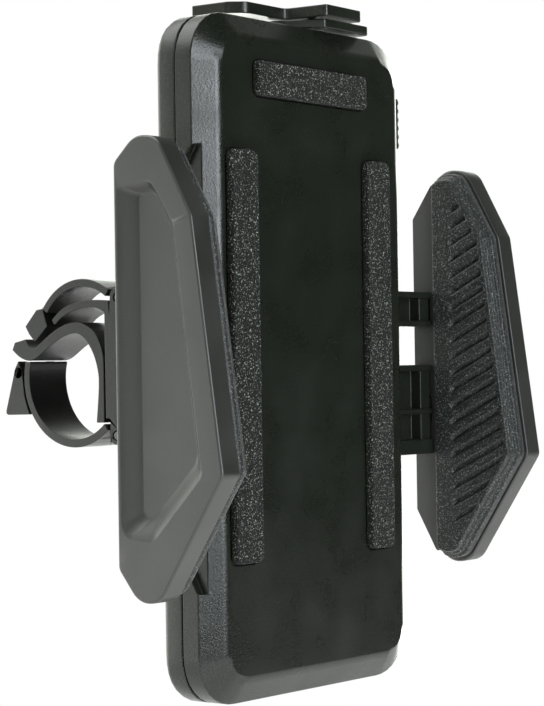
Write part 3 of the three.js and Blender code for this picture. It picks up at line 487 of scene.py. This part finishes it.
def moulded(name, colour, roughness, grain_mm, grain_deep, fleck, gloss=0.5):
    """Moulded plastic: fine spark-eroded grain, cloudy sheen and pale flecks where the grain is high."""
    nodes = Nodes(name)
    cloud = nodes.noise(14, 4)
    grain = nodes.noise(grain_mm, 2, 0.6)
    pits = nodes.cells(grain_mm * 2.2)
    tint = nodes.ramp(grain, (0.38, shade(colour, 0.6)), (0.56, colour), (0.68, shade(colour, fleck)))
    clouded = nodes.multiplied(tint, nodes.ramp(cloud, (0.3, 0.7), (0.7, 1.0)), 0.5)
    nodes.join(clouded, nodes.shader.inputs["Base Color"])
    low, high = roughness - 0.08, roughness + 0.08
    nodes.join(nodes.ramp(cloud, (0.3, low), (0.7, high)), nodes.shader.inputs["Roughness"])
    coarse = nodes.bump(pits, grain_deep, 0.5)
    nodes.join(nodes.bump(grain, grain_deep, 1.0, coarse), nodes.shader.inputs["Normal"])
    nodes.set(Specular_IOR_Level=gloss)
    return nodes.material


def rubber(name, colour):
    """Soft rubber: matt, with a dusty grain of pale specks."""
    nodes = Nodes(name)
    dust = nodes.noise(0.38, 2, 0.65)
    cloud = nodes.noise(9, 4)
    tint = nodes.ramp(dust, (0.4, shade(colour, 0.35)), (0.56, colour), (0.69, shade(colour, 14)))
    nodes.join(tint, nodes.shader.inputs["Base Color"])
    nodes.join(nodes.ramp(cloud, (0.3, 0.4), (0.7, 0.52)), nodes.shader.inputs["Roughness"])
    nodes.join(nodes.bump(dust, 0.09), nodes.shader.inputs["Normal"])
    nodes.set(Sheen_Weight=0.1)
    return nodes.material


def foam(name, colour):
    """Open-cell foam: dark pores between pale fibres."""
    nodes = Nodes(name)
    pores = nodes.cells(0.85)
    fibres = nodes.noise(0.38, 2, 0.6)
    tint = nodes.ramp(fibres, (0.5, shade(colour, 0.2)), (0.59, colour), (0.68, shade(colour, 42)))
    porous = nodes.multiplied(tint, nodes.ramp(pores, (0.1, 0.35), (0.5, 1.0)), 0.7)
    nodes.join(porous, nodes.shader.inputs["Base Color"])
    nodes.join(nodes.bump(fibres, 0.5), nodes.shader.inputs["Normal"])
    nodes.set(Roughness=0.8, Specular_IOR_Level=0.3, Sheen_Weight=0.08, Sheen_Roughness=0.5)
    return nodes.material


def steel(name, colour, roughness):
    """Plated or blackened steel: drawn scratches, dull patches and a slightly uneven colour."""
    nodes = Nodes(name)
    scratches = nodes.noise(0.5, 4, 0.6, (1, 1, 12))
    cloud = nodes.noise(3, 3)
    tint = nodes.ramp(cloud, (0.3, shade(colour, 0.75)), (0.7, colour))
    nodes.join(tint, nodes.shader.inputs["Base Color"])
    rough = nodes.ramp(scratches, (0.3, roughness - 0.1), (0.7, roughness + 0.12))
    nodes.join(rough, nodes.shader.inputs["Roughness"])
    nodes.join(nodes.bump(scratches, 0.01), nodes.shader.inputs["Normal"])
    nodes.set(Metallic=1.0)
    return nodes.material


MATERIALS = {
    "case_plastic": moulded(
        "case_plastic", (0.0105, 0.013, 0.009), roughness=0.3, grain_mm=0.26, grain_deep=0.03, fleck=3.5
    ),
    "jaw_plastic": moulded(
        "jaw_plastic", (0.0175, 0.0185, 0.0155), roughness=0.44, grain_mm=0.26, grain_deep=0.008, fleck=1.15,
        gloss=1.0,
    ),
    "joint_plastic": moulded(
        "joint_plastic", (0.016, 0.017, 0.016), roughness=0.36, grain_mm=0.3, grain_deep=0.02, fleck=1.4
    ),
    "clamp_plastic": moulded(
        "clamp_plastic", (0.014, 0.015, 0.014), roughness=0.34, grain_mm=0.5, grain_deep=0.02, fleck=1.3
    ),
    "rubber": rubber("pad_rubber", (0.014, 0.016, 0.015)),
    "foam": foam("strip_foam", (0.009, 0.01, 0.0082)),
    "steel": steel("plated_steel", (0.55, 0.55, 0.56), roughness=0.34),
    "dark_steel": steel("black_oxide_steel", (0.16, 0.16, 0.165), roughness=0.42),
}


# ---- Case ----


def front_shell():
    """The CAD shell, with its chamfer bent into the flat face. It is cut along the chamfer first, so that the
    bend has vertices to move."""
    near = 0.02
    cuts = (0.35, 0.8, 1.3, 1.9, CHAMFER_BLEND, CHAMFER_OUT - 0.6, CHAMFER_OUT - 0.25)
    bm = cad_bmesh("front_shell")
    fold = CHAMFER_DEEP / CHAMFER_OUT
    for out in cuts:
        cut_across(bm, Vector((0, out * fold * MM, 0)), (0, 1, 0))
    steep = CHAMFER_DEEP / (CHAMFER_OUT - CHAMFER_BLEND / 2)
    for vert in bm.verts:
        out = chamfer_distance(vert.co / MM)
        if out is None or abs(out * fold - vert.co.y / MM) > near:
            continue
        if out < CHAMFER_BLEND:
            vert.co.y = steep * out * out / (2 * CHAMFER_BLEND) * MM
        else:
            vert.co.y = steep * (out - CHAMFER_BLEND / 2) * MM
    piece = made("front_shell_finished", bm, "case_plastic", "cradle", "front_shell")
    soft_edges(piece, 0.22, angle=30, segments=3)


def chamfer_distance(place):
    """How far outside the flat face's outline a point is, or None if it isn't over the chamfer."""
    spare = 0.01
    dx = abs(place.x) - (FACE_HALF_W - FACE_CORNER)
    dz = abs(place.z) - (FACE_HALF_H - FACE_CORNER)
    if dx > 0 and dz > 0:
        out = math.hypot(dx, dz) - FACE_CORNER
    else:
        out = max(dx, dz) - FACE_CORNER
    return out if -spare <= out <= CHAMFER_OUT + spare else None


def foam_strip(node, corner_r):
    """A strip with a rough, open surface and soft cut edges."""
    low, high = (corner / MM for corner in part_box(node))
    corners = [
        (low.x + FOAM_EDGE, low.z + FOAM_EDGE, corner_r),
        (high.x - FOAM_EDGE, low.z + FOAM_EDGE, corner_r),
        (high.x - FOAM_EDGE, high.z - FOAM_EDGE, corner_r),
        (low.x + FOAM_EDGE, high.z - FOAM_EDGE, corner_r),
    ]

    def height(p):
        place = Vector((p.x, p.y, 0))
        rough = noise.noise(place * 1.1) * FOAM_ROUGH + noise.noise(place * 2.6) * FOAM_ROUGH_FINE
        return -low.y - FOAM_ROUGH + rough

    def place(x, z, up):
        return Vector((x, -up, z)) * MM

    profile = [
        (FOAM_EDGE * 0.55, -low.y - 0.22),
        (FOAM_EDGE * 0.9, -low.y - 0.55),
        (FOAM_EDGE, -low.y - 0.9),
        (FOAM_EDGE, -high.y),
    ]
    bm = relief_plate(rounded(corners, 5), FOAM_GRID, height, profile, place)
    piece = made(f"{node}_strip", bm, "foam", "cradle", node)


# ---- Jaws ----


def turn_of(side):
    """The sign that makes the left jaw the right one's mirror image."""
    return 1 if side == "right" else -1


def jaw_board(side):
    """The jaw's outer board: soft edges all round, and outside a sunk panel whose wall is steep in front and
    gentle behind and below."""
    steps = 8
    panel_shares = (0.0, 0.06, 0.14, 0.3, 0.5, 0.7, 0.86, 0.94, 1.0)

    def place(y, z, x):
        return Vector((turn_of(side) * x, y, z)) * MM

    layers = [(JAW_EDGE_INSIDE, JAW_RIM), (0, JAW_RIM + JAW_EDGE_INSIDE)]
    for degrees in range(0, 91, 18):
        angle = math.radians(degrees)
        layers.append((JAW_EDGE * (1 - math.cos(angle)), JAW_OUT - JAW_EDGE * (1 - math.sin(angle))))
    bm = bmesh.new()
    rings = []
    for distance, x in layers:
        points = rounded(inset(JAW_OUTLINE, distance), steps)
        rings.append(ring_of(bm, points, lambda p, x=x: place(p.x, p.y, x)))
    bridge_all(bm, rings)
    fill(bm, rings[0])
    wall = [panel_ring(bm, place, share) for share in panel_shares]
    bridge_all(bm, wall)
    fill(bm, rings[-1], wall[0])
    fill(bm, wall[-1])
    return bm


def panel_ring(bm, place, share):
    """One ring of the panel's sloping wall: share 0 is its rim and 1 its floor."""
    steps = 8
    depth = PANEL_DEEP * (smooth(share, 0, 1) + share) / 2
    points = [a.lerp(b, share) for a, b in zip(rounded(PANEL_RIM, steps), rounded(PANEL_FLOOR, steps))]
    return ring_of(bm, points, lambda p: place(p.x, p.y, JAW_OUT - depth))


def jaw_flange(side):
    """The part of the jaw shell inside the board, with the arms' sockets and the screws' holes."""
    clear_of_board = 0.02
    turn = turn_of(side)
    bm = cad_bmesh(f"{side}_jaw_shell")
    end = Vector((turn * (JAW_RIM - clear_of_board) * MM, 0, 0))
    cut_across(bm, end, (turn, 0, 0), clear_outer=True)
    open_edges = [e for e in bm.edges if len(e.link_faces) == 1]
    bmesh.ops.triangle_fill(bm, use_beauty=True, use_dissolve=False, edges=open_edges)
    return bm


def pad_height(p):
    """Slanting grooves in the pad's face, rounded at their ends."""
    phase = (p.y + RIDGE_SLOPE * p.x) / RIDGE_PITCH
    phase -= math.floor(phase)
    groove = 1 - smooth(abs(phase - 0.5), 0.13, 0.21)
    front = span(PAD_FACE, p.y)[0]
    ends = smooth(GROOVE_BACK_Y - p.x, 0, 1.2) * smooth(p.x - front, 0.3, 1.5)
    tall = smooth(p.y, GROOVE_LOW_Z, GROOVE_LOW_Z + 6) * (1 - smooth(p.y, GROOVE_HIGH_Z - 3, GROOVE_HIGH_Z))
    return -GROOVE_DEEP * groove * ends * tall


def pad_face():
    """The gripping face's outline: the skirt's, moved in all round except along the back."""
    kept = [(y + PAD_INSET if y == PAD_BACK else y, z, radius) for y, z, radius in PAD_OUTLINE]
    return rounded(inset(kept, PAD_INSET + 0.1), 6)


PAD_FACE = pad_face()


def jaw_pad(side):
    """The ridged pad: its steps lead from its face down to its skirt, which reaches almost to the board."""
    short_of_board = 0.3

    def place(y, z, up):
        return Vector((turn_of(side) * (PAD_X - up), min(y, PAD_BACK), z)) * MM

    skirt = (PAD_INSET, -(JAW_RIM - short_of_board - PAD_X))
    return relief_plate(PAD_FACE, PAD_GRID, pad_height, PAD_STEPS + [skirt], place)


def jaws():
    for side in ("left", "right"):
        body = f"{side}_jaw"
        board = made(f"{side}_jaw_board", jaw_board(side), "jaw_plastic", body, f"{side}_jaw_shell")
        board.modifiers.new("normals", "WEIGHTED_NORMAL")
        flange = made(f"{side}_jaw_flange", jaw_flange(side), "jaw_plastic", body, smooth_shading=False)
        soft_edges(flange, 0.15, angle=60, segments=1, clamped=True)
        made(f"{side}_jaw_pad_ridged", jaw_pad(side), "rubber", body, f"{side}_jaw_pad")
        for arm in ("upper", "lower"):
            dressed(f"{side}_{arm}_arm", "case_plastic", 0.22)


# ---- Fasteners and springs ----


# A pan head's side, as shares of its radius and height, and its cross recess
PAN_HEAD = ((0.96, 0), (1, 0.25), (0.97, 0.6), (0.85, 0.88))
PAN_TOP = (0.72, 0.6, 0.5, 0.4, 0.3, 0.2, 0.1)
PAN_CROWN = 0.12
CROSS_HALF_W = 0.14
CROSS_REACH = 0.62
CROSS_DEEP = 0.5
SCREW_SIDES = 32


def screw(node, facing=1, axis="y", slot="steel"):
    """A pan-head screw with a cross recess and a threaded shank, in the place of a CAD screw."""
    low, high = (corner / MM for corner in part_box(node))
    middle = (low + high) / 2
    long_way = "xyz".index(axis)
    length = high[long_way] - low[long_way]
    start = low[long_way] if facing > 0 else high[long_way]
    head_r = (high[0] - low[0]) / 2
    head_h = head_r * 0.52
    shank_r = head_r * 0.48

    def place(a, b, along):
        if axis == "z":
            return Vector((middle.x + a, middle.y + b, start + facing * along)) * MM
        return Vector((middle.x + a, start + facing * along, middle.z + b)) * MM

    profile = thread(shank_r, length - head_h)
    for share, height in PAN_HEAD:
        profile.append((head_r * share, length - head_h * (1 - height)))
    bm = bmesh.new()
    rings = turned(bm, profile, SCREW_SIDES, place)
    rings += head_top(bm, head_r, lambda a, b, sunk: place(a, b, length - head_h * sunk))
    bridge_all(bm, rings[-len(PAN_TOP) - 1:])
    close_ends(bm, rings)
    made(f"{node}_turned", bm, slot, body_of(node), node)


def head_top(bm, head_r, place):
    """Rings across a head's crowned top, from its edge inwards, which sink where the cross recess is."""
    rings = []
    for share in PAN_TOP:
        ring = []
        for step in range(SCREW_SIDES):
            angle = 2 * math.pi * step / SCREW_SIDES
            a, b = share * math.cos(angle), share * math.sin(angle)
            sunk = PAN_CROWN * share * share + recess(a, b)
            ring.append(bm.verts.new(place(head_r * a, head_r * b, sunk)))
        rings.append(ring)
    return rings


def thread(radius, reach):
    """A shank's profile, with a groove for each half pitch."""
    deep, pitch, tip = 0.12, 0.7, 0.3
    rings = int(reach / (pitch / 2))
    profile = [(0.2, 0), (radius * 0.7, tip)]
    for i in range(1, rings):
        profile.append((radius - (deep if i % 2 else 0), tip + i * (reach - 0.5) / rings))
    return profile + [(radius, reach)]


def recess(a, b):
    """How deep the cross recess is at a place on the head, as shares of the head's radius and height."""
    in_cross = min(abs(a), abs(b)) < CROSS_HALF_W and max(abs(a), abs(b)) < CROSS_REACH
    return CROSS_DEEP if in_cross else 0


def coil(node, turns, wire):
    """A compression spring with closed ends."""
    low, high = (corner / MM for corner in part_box(node))
    middle = (low + high) / 2
    radius = (high.z - low.z) / 2 - wire
    length = high.x - low.x - 2 * wire
    bm = bmesh.new()
    per_turn, sides = 20, 8
    steps = turns * per_turn
    closed = 1.1 / turns
    rings = []
    for i in range(steps + 1):
        angle = 2 * math.pi * turns * i / steps
        centre = Vector((low.x + wire + length * smooth_ends(i / steps, closed), middle.y, middle.z))
        out = Vector((0, math.cos(angle), math.sin(angle)))
        ring = []
        for side in range(sides):
            around = 2 * math.pi * side / sides
            offset = out * (radius + wire * math.cos(around)) + Vector((wire * math.sin(around), 0, 0))
            ring.append(bm.verts.new((centre + offset) * MM))
        rings.append(ring)
    bridge_all(bm, rings)
    close_ends(bm, rings)
    piece = made(f"{node}_coil", bm, "steel", body_of(node), node)
    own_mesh(piece)


def smooth_ends(t, closed):
    """The share of a spring's length at one share of its wire: its end turns lie flat."""
    flat = 0.035
    if t < closed:
        return flat * t / closed
    if t > 1 - closed:
        return 1 - flat * (1 - t) / closed
    return flat + (1 - 2 * flat) * (t - closed) / (1 - 2 * closed)


# ---- Ball joint ----


def ball_stud():
    """The ball, its stem, the foot that stands on the saddle and the spigot that goes into it."""
    fillet, foot_r, spigot_r, end_y = 2.2, 8.6, 4, 55
    rise = math.degrees(math.acos(STEM_R / BALL_R))
    profile = [(0.3, BALL_Y - BALL_R + 0.01)]
    profile += arc(0, BALL_Y, BALL_R, -86, rise - 3, 26)
    profile += [(STEM_R + 0.25, 37), (STEM_R, 38), (STEM_R, 43.6)]
    profile += arc(STEM_R + fillet, 43.4, fillet, 180, 100, 6)
    profile += [(foot_r - 0.4, 46.3), (foot_r, 46.7), (foot_r, STUD_FOOT_Y)]
    profile += [(spigot_r, STUD_FOOT_Y), (spigot_r, end_y)]
    bm = bmesh.new()
    close_ends(bm, turned(bm, profile, 64, about_y))
    piece = made("ball_stud_turned", bm, "joint_plastic", "clamp", "ball_stud")
    soft_edges(piece, 0.2, angle=40)


def ball_socket():
    """The socket's flange, its cup for the ball, and its outside that the collar screws on."""
    cup_r, outer_r, mouth_y = 10.5, 13, 32
    flange_r, foot_y, hole_r = 18.4, 14.9, 4
    profile = [(cup_r, mouth_y), (11, mouth_y), (12.6, mouth_y), (outer_r, 31.6), (outer_r, 18.6)]
    profile += arc(outer_r + 1, 18.5, 1, 180, 270, 5)
    profile += [(17.8, 17.5), (18.3, 17.1), (flange_r, 16.8), (flange_r, foot_y), (hole_r, foot_y)]
    profile.append((hole_r, 18.3))
    profile += arc(0, BALL_Y, cup_r, -60, 0, 12)
    piece = made("ball_socket_turned", turned_ring(profile, 72), "joint_plastic", "cradle", "ball_socket")
    soft_edges(piece, 0.15, angle=40)


def lock_collar():
    """The nut, with flutes down its outside that fade out towards its ends."""
    inner_r, lip_r, outer_r = 13.3, 8.6, 16.3
    near_y, ledge_y, far_y = 20.5, 32.3, 35
    profile = [(inner_r, near_y), (15.4, near_y), (16.2, 21.2), (outer_r, 22), (outer_r, 33), (16.1, 34)]
    profile += [(15.2, 34.9), (14.2, far_y), (9.6, far_y), (8.8, 34.5), (lip_r, 33.4)]
    profile += [(lip_r, ledge_y), (inner_r, ledge_y)]
    fluted = {2: 0.3, 3: 1.0, 4: 1.0, 5: 0.5}

    def flute(angle, index):
        wave = math.cos(FLUTES * angle)
        return FLUTE_DEEP * fluted.get(index, 0) * math.copysign(abs(wave) ** 0.6, wave)

    bm = turned_ring(profile, FLUTES * 12, flute)
    piece = made("lock_collar_fluted", bm, "joint_plastic", "lock_collar", "lock_collar")
    soft_edges(piece, 0.15, angle=45)


def turned_ring(profile, steps, wobble=None):
    """Turns a closed profile, so that it makes a ring with a hole."""
    bm = bmesh.new()
    rings = turned(bm, profile, steps, about_y, wobble)
    bridge(bm, rings[-1], rings[0])
    return bm


# ---- Groups of pieces ----


def case_pieces():
    front_shell()
    dressed("rear_shell", "case_plastic", 0.3)
    for node, corner_r in (("foam_top", 0.7), ("foam_left", 1.7), ("foam_right", 1.7)):
        foam_strip(node, corner_r)
    dressed("tab_base", "case_plastic", 0.35)
    dressed("stop_tab", "case_plastic", 0.3, angle=28, segments=3)
    dressed("release_button", "case_plastic", 0.15)


def joint_pieces():
    ball_stud()
    ball_socket()
    lock_collar()


def clamp_pieces():
    for node in ("clamp_saddle", "grip_tongue", "upper_band", "lower_band", "latch_lever"):
        dressed(node, "clamp_plastic", 0.22, angle=35, shortest=0.45)


def small_metal():
    for node in frame["nodes"]:
        if node == "tab_screw":
            screw(node, axis="z", slot="dark_steel")
        elif "_screw" in node:
            screw(node, -1 if node == "pinion_screw" else 1)
    coil("right_jaw_spring", turns=9, wire=0.35)
    coil("left_jaw_spring", turns=9, wire=0.35)
    coil("button_spring", turns=5, wire=0.3)
    for node in ("upper_band_pin", "lower_band_pin", "lever_pin"):
        dressed(node, "dark_steel", 0.25, angle=40, segments=3)
    for node in ("pinion", "latch_pawl", "pawl_pin"):
        dressed(node, "steel", 0.1, angle=40, segments=1)


def paint_the_rest():
    """CAD nodes that are shown as they are take their slot's material."""
    for part in frame["record"]["subparts"]:
        node = frame["nodes"][part["node"]]
        if not node.hide_render:
            node.data.materials.clear()
            node.data.materials.append(MATERIALS[part["material_slot"]])


# ---- Studio ----


def lamp(name, data, place, towards):
    """Hangs a lamp at a place, pointing in a direction."""
    hung = linked(bpy.data.objects.new(name, data))
    hung.location = place
    hung.rotation_mode = "QUATERNION"
    hung.rotation_quaternion = Vector(towards).to_track_quat("-Z", "Y")


def soft_box(name, place, target, size, power, colour=(1, 1, 1)):
    """A rectangular lamp that points at a target."""
    data = bpy.data.lights.new(name, "AREA")
    data.shape = "RECTANGLE"
    data.size, data.size_y = size
    data.energy = power
    data.color = colour
    lamp(name, data, place, Vector(target) - Vector(place))


def ground():
    """A pale floor well below the object, small enough that the case's face doesn't mirror it."""
    mesh = bpy.data.meshes.new("floor")
    bm = bmesh.new()
    bmesh.ops.create_grid(bm, x_segments=2, y_segments=2, size=1.3)
    bm.to_mesh(mesh)
    bm.free()
    nodes = Nodes("floor_paint")
    nodes.join(nodes.ramp(nodes.noise(60, 3), (0.3, 0.9), (0.7, 0.93)), nodes.shader.inputs["Base Color"])
    nodes.set(Roughness=0.9)
    mesh.materials.append(nodes.material)
    piece = linked(bpy.data.objects.new("floor", mesh))
    piece.location = (0, 0, -0.4)


def studio():
    """Soft light from above, a window in front that the left chamfer mirrors, and a lamp behind left."""
    sky = bpy.data.lights.new("sky", "SUN")
    sky.energy = 2.6
    sky.angle = math.radians(70)
    lamp("sky", sky, (0, 0, 0), (0.25, -0.35, -1))
    daylight = (0.9, 0.95, 1)
    soft_box("window", (-0.3, -1.25, 0.3), target=(0, 0, 0.15), size=(0.34, 0.8), power=13, colour=daylight)
    soft_box("side", (-0.85, 1.0, -0.3), target=(0, 0, 0), size=(0.7, 0.8), power=2)


def room():
    """White as the camera sees it. What it lends the object is dim from in front and brighter from behind,
    most of all straight behind and on the right, with a little from the left."""
    world = bpy.data.worlds.new("room")
    bpy.context.scene.world = world
    world.use_nodes = True
    tree = world.node_tree
    tree.nodes.clear()
    output = tree.nodes.new("ShaderNodeOutputWorld")
    seen = tree.nodes.new("ShaderNodeBackground")
    lit = tree.nodes.new("ShaderNodeBackground")
    either = tree.nodes.new("ShaderNodeMixShader")
    path = tree.nodes.new("ShaderNodeLightPath")
    place = tree.nodes.new("ShaderNodeTexCoord")
    behind = glow(tree, place, towards=(0, 1, 0), reach=(-0.15, 0.6), strength=(0.035, 0.75))
    rim = glow(tree, place, towards=(0.919, 0.394, 0), reach=(0.8, 0.96), strength=(0, 4.5))
    far = glow(tree, place, towards=(0, 1, 0), reach=(0.8, 1), strength=(0, 2.8))
    left = glow(tree, place, towards=(-0.93, -0.36, 0), reach=(0.9, 1), strength=(0, 1.1))
    strength = total(tree, total(tree, behind, rim), total(tree, far, left))
    tree.links.new(strength, lit.inputs["Strength"])
    tree.links.new(path.outputs["Is Camera Ray"], either.inputs["Fac"])
    tree.links.new(lit.outputs[0], either.inputs[1])
    tree.links.new(seen.outputs[0], either.inputs[2])
    tree.links.new(either.outputs[0], output.inputs["Surface"])
    seen.inputs["Color"].default_value = (1, 1, 1, 1)
    lit.inputs["Color"].default_value = (0.96, 1, 0.93, 1)


def total(tree, one, two):
    """The sum of two strengths."""
    node = tree.nodes.new("ShaderNodeMath")
    node.operation = "ADD"
    tree.links.new(one, node.inputs[0])
    tree.links.new(two, node.inputs[1])
    return node.outputs[0]


def glow(tree, place, towards, reach, strength):
    """A strength that grows smoothly as a direction turns towards one side of the room. The reach is the two
    cosines between which it grows."""
    dot = tree.nodes.new("ShaderNodeVectorMath")
    dot.operation = "DOT_PRODUCT"
    dot.inputs[1].default_value = towards
    tree.links.new(place.outputs["Generated"], dot.inputs[0])
    fall = tree.nodes.new("ShaderNodeMapRange")
    fall.interpolation_type = "SMOOTHSTEP"
    fall.inputs["From Min"].default_value, fall.inputs["From Max"].default_value = reach
    fall.inputs["To Min"].default_value, fall.inputs["To Max"].default_value = strength
    tree.links.new(dot.outputs["Value"], fall.inputs["Value"])
    return fall.outputs["Result"]


def camera():
    """The camera stands in front and to the left, level with the case's middle."""
    yaw, pitch, roll = (math.radians(a) for a in (50.92, 0.592, -0.884))
    ahead = Vector((math.sin(yaw) * math.cos(pitch), math.cos(yaw) * math.cos(pitch), math.sin(pitch)))
    level = ahead.cross(Vector((0, 0, 1))).normalized()
    up = level.cross(ahead)
    right = level * math.cos(roll) + up * math.sin(roll)
    top = up * math.cos(roll) - level * math.sin(roll)
    data = bpy.data.cameras.new("camera")
    data.sensor_width = 36
    data.lens = 108.59
    eye = linked(bpy.data.objects.new("camera", data))
    turn = Matrix((right, top, -ahead)).transposed().to_4x4()
    eye.matrix_world = Matrix.Translation(Vector((-386.0, -300.3, -3.94)) * MM) @ turn
    bpy.context.scene.camera = eye


case_pieces()
jaws()
joint_pieces()
clamp_pieces()
small_metal()
paint_the_rest()
ground()
studio()
room()
camera()

bpy.context.scene.view_settings.view_transform = "Standard"
